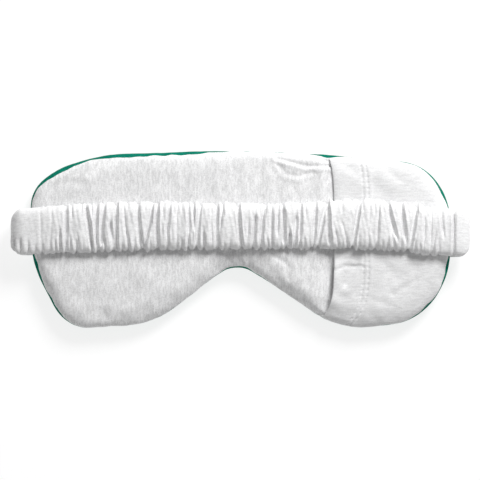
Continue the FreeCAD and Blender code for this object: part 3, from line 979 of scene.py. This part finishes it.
def make_pouch(skin):
    """The pouch's two cloths, the wall that parts its chambers and the seeds in each chamber."""
    front = slice_off(copy_of(skin, "pouch_front_cloth"), (0, 0, SEAM_LEVEL), (0, 0, 1))
    back = slice_off(copy_of(skin, "pouch_back_cloth"), (0, 0, SEAM_LEVEL), (0, 0, -1))
    for cloth in (front, back):
        modify(cloth, "SOLIDIFY", thickness=POUCH_CLOTH, offset=-1)
        smooth(cloth)
    sink(skin, lambda points: np.full(len(points), POUCH_CLOTH + 0.15 * MM))
    wall = copy_of(skin, "pouch_divider_cloth")
    seeds = []
    for word, side in (("left", -1), ("right", 1)):
        half = copy_of(skin, "seeds_" + word)
        slice_off(half, (DIVIDER_X + side * 0.3 * MM, 0, 0), (-side, 0, 0))
        cap_holes(half)
        slice_off(wall, (DIVIDER_X + side * 0.2 * MM, 0, 0), (side, 0, 0))
        seeds.append(pebbled(half))
    return {piece.name: piece for piece in [front, back, cap_holes(wall), *seeds]}


def pebbled(piece):
    """A mass of seeds: its skin is dimpled between them."""
    modify(piece, "REMESH", mode="VOXEL", voxel_size=0.95 * MM)
    texture = bpy.data.textures.new(piece.name, "VORONOI")
    texture.noise_scale = 2.6 * MM
    modify(piece, "DISPLACE", texture=texture, texture_coords="LOCAL", strength=-0.5 * MM, mid_level=0)
    bpy.data.textures.remove(texture)
    return smooth(piece)


def make_wadding(skin):
    """The thin wadding that lies in the bowl of the face cloth."""
    pad = copy_of(skin, "wadding_pad")
    sink(pad, lambda points: np.full(len(points), CLOTH + 0.15 * MM))
    slice_off(pad, (0, 0, POUCH_LOW - 0.25 * MM), (0, 0, 1))
    return smooth(cap_holes(pad))


def moved_copy(node, name, rule):
    """A CAD node's stitches, moved by a rule to follow the soft cloth."""
    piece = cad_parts[node].copy()
    piece.data = piece.data.copy()
    piece.parent = None
    for key in list(piece.keys()):
        del piece[key]
    piece.name = name
    piece.hide_render = False
    piece.hide_viewport = False
    bpy.context.collection.objects.link(piece)
    bm = bmesh.new()
    bm.from_mesh(piece.data)
    bmesh.ops.remove_doubles(bm, verts=bm.verts[:], dist=0.001 * MM)
    bm.to_mesh(piece.data)
    bm.free()
    return smooth(reshape(piece, rule))


def with_seam(points):
    """Raises the side seam's stitches with the seam where the face cloth rolls up."""
    points[:, 2] += 0.7 * (seam_level(points) - SEAM_LEVEL)
    return points


def with_root(points):
    """Lowers the strap's tacks onto its flattened root."""
    points[:, 2] -= (STRAP_THICK - CASING_THICK / 2) / 2
    return points


# ------------------------------------------------------------------ finishes


class Wire:
    """One socket of a material's nodes, so that shader maths reads as sums and products."""

    def __init__(self, tree, socket):
        self.tree = tree
        self.socket = socket

    def joined(self, operation, *others, first=False):
        node = self.tree.nodes.new("ShaderNodeMath")
        node.operation = operation
        values = [*others, self] if first else [self, *others]
        for socket, value in zip(node.inputs, values):
            plug(self.tree, socket, value)
        return Wire(self.tree, node.outputs[0])

    def __add__(self, other):
        return self.joined("ADD", other)

    def __sub__(self, other):
        return self.joined("SUBTRACT", other)

    def __rsub__(self, other):
        return self.joined("SUBTRACT", other, first=True)

    def __mul__(self, other):
        return self.joined("MULTIPLY", other)

    def __pow__(self, other):
        return self.joined("POWER", other)

    __radd__ = __add__
    __rmul__ = __mul__


def plug(tree, socket, value):
    """Links a wire to a socket, or sets the socket's own value."""
    if isinstance(value, Wire):
        tree.links.new(value.socket, socket)
    else:
        socket.default_value = value


class Finish:
    """A material under construction."""

    def __init__(self, name, roughness=0.9, sheen=0.0):
        self.material = bpy.data.materials.new(name)
        self.material.use_nodes = True
        self.tree = self.material.node_tree
        self.shader = self.tree.nodes["Principled BSDF"]
        self.shader.inputs["Roughness"].default_value = roughness
        self.shader.inputs["Sheen Weight"].default_value = sheen
        self.shader.inputs["Specular IOR Level"].default_value = 0.25

    def node(self, kind, settings, sockets, output=0):
        """Makes a node: its settings first, then the values or links of its sockets."""
        made = self.tree.nodes.new(kind)
        for name, value in settings.items():
            setattr(made, name, value)
        for key, value in sockets.items():
            plug(self.tree, made.inputs[key], value)
        return Wire(self.tree, made.outputs[output])

    def place(self, source, scale, turn=0.0):
        """Coordinates in metres, stretched along each axis and turned about Z."""
        spot = self.node("ShaderNodeTexCoord", {}, {}, source)
        return self.node("ShaderNodeMapping", {}, {"Vector": spot, "Scale": scale, "Rotation": (0, 0, turn)})

    def noise(self, spot, scale, detail=2.0, rough=0.5):
        """Smooth noise from 0 to 1."""
        sockets = {"Vector": spot, "Scale": scale, "Detail": detail, "Roughness": rough}
        return self.node("ShaderNodeTexNoise", {}, sockets)

    def wave(self, spot, scale, axis, sway=0.0):
        """Ribs from 0 to 1, scale of them to a unit."""
        settings = {"bands_direction": axis, "wave_profile": "SIN"}
        return self.node("ShaderNodeTexWave", settings, {"Vector": spot, "Scale": scale, "Distortion": sway})

    def spread(self, value, low, high):
        """0 where a value is low and 1 where it is high."""
        sockets = {"Value": value, "From Min": low, "From Max": high}
        return self.node("ShaderNodeMapRange", {"clamp": True}, sockets)

    def mix(self, share, first, second):
        """A colour between two colours."""
        return self.node("ShaderNodeMix", {"data_type": "RGBA"}, {0: share, 6: first, 7: second}, 2)

    def colour(self, value):
        plug(self.tree, self.shader.inputs["Base Color"], value)

    def bump(self, height, distance, strength=1.0):
        sockets = {"Height": height, "Distance": distance, "Strength": strength}
        plug(self.tree, self.shader.inputs["Normal"], self.node("ShaderNodeBump", {}, sockets))


def grey(level):
    """A neutral colour, by its linear level."""
    return (level, level, level * 1.005, 1)


def jersey(name, source, grain, light, dark):
    """Heather jersey: pale and grey fibres spun together, knitted in fine ribs along the grain.

    grain is the stretch along X and Y that draws its streaks out, 1 across them and less than 1 along them.
    """
    cloth = Finish(name, roughness=0.92, sheen=0.15)
    along_x, along_y = grain
    streaked = cloth.place(source, (along_x, along_y, 0.3))
    plain = cloth.place(source, (1, 1, 1))
    broad = cloth.noise(streaked, 900.0, 3.0, 0.7)
    fine = cloth.noise(plain, 1500.0, 2.0, 0.7)
    cloud = cloth.noise(plain, 60.0, 2.0)
    shade = cloth.spread(broad * 0.5 + fine * 0.42 + cloud * 0.08, 0.41, 0.59)
    cloth.colour(cloth.mix(shade, grey(dark), grey(light)))
    axis = "Y" if along_x < along_y else "X"
    ribs = cloth.wave(plain, 1 / (20 * 0.55 * MM) * 2, axis, 1.5)
    fuzz = cloth.noise(plain, 2600.0, 2.0)
    cloth.bump(ribs * 0.14 + broad * 0.8 + fuzz * 0.5, 0.16 * MM, 0.6)
    return cloth.material


def teal_cloth():
    """Smooth teal jersey, a touch lighter on the yarns that stand up."""
    cloth = Finish("teal_face_cloth", roughness=0.95)
    cloth.shader.inputs["Specular IOR Level"].default_value = 0.1
    spot = cloth.place("Object", (1, 1, 1))
    grain = cloth.noise(spot, 1300.0, 3.0)
    cloud = cloth.noise(spot, 90.0)
    shade = cloth.spread(grain * 0.6 + cloud * 0.4, 0.35, 0.65)
    cloth.colour(cloth.mix(shade, (0.0008, 0.135, 0.088, 1), (0.0020, 0.205, 0.135, 1)))
    ribs = cloth.wave(spot, 180.0, "X", 1.0)
    cloth.bump(ribs * 0.6 + grain * 0.6, 0.12 * MM, 0.6)
    return cloth.material


def thread(name, level):
    """Twisted sewing thread."""
    cloth = Finish(name, roughness=0.6, sheen=0.1)
    spot = cloth.place("Object", (1, 1, 1), 0.6)
    twist = cloth.wave(spot, 900.0, "DIAGONAL", 0.0)
    fuzz = cloth.noise(spot, 4000.0)
    cloth.colour(cloth.mix(twist * 0.6 + fuzz * 0.4, grey(level * 0.86), grey(level)))
    cloth.bump(twist, 0.05 * MM, 0.5)
    return cloth.material


def plain_weave(name, pale, dark, pitch):
    """A plain weave of two crossed sets of yarns."""
    cloth = Finish(name, roughness=0.9, sheen=0.05)
    spot = cloth.place("Object", (1, 1, 1))
    warp = cloth.wave(spot, 0.3 / pitch, "X", 0.6)
    weft = cloth.wave(spot, 0.3 / pitch, "Y", 0.6)
    slub = cloth.noise(spot, 500.0, 3.0)
    cloth.colour(cloth.mix(warp * weft * 0.5 + slub * 0.5, dark, pale))
    cloth.bump(warp * weft + slub * 0.3, 0.1 * MM, 0.7)
    return cloth.material


def elastic_webbing():
    """White elastic: rubber ribs along it, crossed by fine yarn."""
    cloth = Finish("elastic_webbing", roughness=0.8)
    spot = cloth.place("UV", (1, 1, 1))
    ribs = cloth.wave(spot, 250.0, "Y", 0.3)
    yarn = cloth.wave(spot, 700.0, "X", 0.5)
    cloth.colour(cloth.mix(ribs, grey(0.62), grey(0.8)))
    cloth.bump(ribs + yarn * 0.3, 0.2 * MM, 0.8)
    return cloth.material


def wadding_fleece():
    """White wadding of loose fibres."""
    cloth = Finish("wadding_fleece", roughness=1.0, sheen=0.3)
    spot = cloth.place("Object", (1, 1, 1))
    curls = cloth.noise(spot, 600.0, 6.0, 0.7)
    clumps = cloth.noise(spot, 120.0, 3.0)
    cloth.colour(cloth.mix(curls, grey(0.7), grey(0.86)))
    cloth.bump(curls + clumps * 0.6, 0.6 * MM, 0.9)
    return cloth.material


def flax_seeds():
    """Brown seeds, each a little different."""
    seeds = Finish("flax_seeds", roughness=0.35)
    spot = seeds.place("Object", (1.4, 0.8, 1.2), 0.5)
    cells = {"Vector": spot, "Scale": 420.0}
    heap = seeds.node("ShaderNodeTexVoronoi", {"feature": "F1"}, cells, "Distance")
    kind = seeds.node("ShaderNodeTexVoronoi", {"feature": "F1"}, cells, "Color")
    pick = seeds.noise(kind, 3.0)
    seeds.colour(seeds.mix(pick, (0.10, 0.035, 0.014, 1), (0.24, 0.10, 0.04, 1)))
    seeds.bump(1 - heap, 0.8 * MM, 0.9)
    return seeds.material


# ------------------------------------------------------------------ the whole pillow


def dress(piece, material):
    """Gives a piece its finish."""
    piece.data.materials.clear()
    piece.data.materials.append(material)


def attach_strap(pieces):
    """Applies the transforms of the strap's runs, their elastic and their casing stitches, and attaches the
    loops to the pillow.
    """
    for name, piece in pieces.items():
        if "run" in name or "casing" in name:
            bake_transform(piece)
        else:
            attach(piece, "pillow")


def build():
    """Makes every piece, dresses it, attaches the pieces to the pillow, applies the strap runs' transforms,
    and hides the CAD parts that each piece stands for.
    """
    back_across = jersey("back_jersey_main", "Object", (1.0, 0.26), 0.92, 0.67)
    back_along = jersey("back_jersey_flap", "Object", (0.22, 1.0), 0.86, 0.71)
    strap_cloth = jersey("strap_jersey", "UV", (0.4, 1.0), 0.90, 0.73)
    pale_thread = thread("pale_thread", 0.84)
    grey_thread = thread("seam_thread", 0.6)
    elastic = elastic_webbing()

    skin = cover_skin()
    front = make_front(skin)
    main = make_back_main(skin)
    flap = make_flap(skin)
    wadding = make_wadding(skin)
    hem_threads, hidden_hem = make_hem_threads(flap, main)
    pouch_cover = pouch_skin()
    pouch = make_pouch(pouch_cover)
    for scaffold in (skin, pouch_cover):
        bpy.data.objects.remove(scaffold)
    strap = make_strap()
    for word, side in (("left", -1), ("right", 1)):
        name = "casing_thread_" + word
        strap[name] = make_casing_thread(name, strap["strap_run_" + word], side)
    seam = moved_copy("side_seam_stitches", "side_seam_thread", with_seam)
    tacks = {}
    for word in ("left", "right"):
        tacks[word] = moved_copy("strap_tack_" + word, "strap_tack_thread_" + word, with_root)

    dress(front, teal_cloth())
    dress(main, back_across)
    dress(flap, back_along)
    dress(wadding, wadding_fleece())
    cotton = plain_weave("pouch_cotton", grey(0.78), grey(0.6), 0.5 * MM)
    seeds = flax_seeds()
    for name, piece in pouch.items():
        is_seeds = name.startswith("seeds")
        dress(piece, seeds if is_seeds else cotton)
    for piece in (hem_threads, hidden_hem):
        dress(piece, pale_thread)
    for piece in (seam, *tacks.values()):
        dress(piece, grey_thread)
    for name, piece in strap.items():
        if name.startswith("elastic"):
            dress(piece, elastic)
        elif name.startswith("casing"):
            dress(piece, pale_thread)
        else:
            dress(piece, strap_cloth)
    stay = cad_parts["pouch_seam_stitches"]
    for slot in stay.material_slots:
        slot.material = grey_thread

    attach_strap(strap)
    threads = [hem_threads, hidden_hem, seam, *tacks.values()]
    for piece in [front, main, flap, wadding, *threads, *pouch.values()]:
        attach(piece, "pillow")
    stand_for = {
        front: ["front_panel"],
        main: ["back_panel_main"],
        flap: ["back_panel_flap"],
        wadding: ["wadding"],
        hem_threads: ["flap_hem_stitches"],
        hidden_hem: ["main_hem_stitches"],
        seam: ["side_seam_stitches"],
        pouch["pouch_front_cloth"]: ["pouch_front"],
        pouch["pouch_back_cloth"]: ["pouch_back"],
        pouch["pouch_divider_cloth"]: ["pouch_divider"],
    }
    for word in ("left", "right"):
        stand_for[tacks[word]] = ["strap_tack_" + word]
        stand_for[pouch["seeds_" + word]] = ["seed_fill_" + word]
        stand_for[strap["strap_run_" + word]] = ["strap_casing"]
        stand_for[strap["strap_loop_" + word]] = ["strap_end_" + word]
        stand_for[strap["elastic_run_" + word]] = ["strap_elastic"]
        stand_for[strap["elastic_loop_" + word]] = ["elastic_end_" + word]
        stand_for[strap["casing_thread_" + word]] = ["casing_seam_stitches"]
    for piece, nodes in stand_for.items():
        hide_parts(*nodes)

    for word in ("left", "right"):
        pouch["seeds_" + word]
        run = strap["strap_run_" + word]
        strap["strap_loop_" + word]


make_camera()
make_studio()
build()
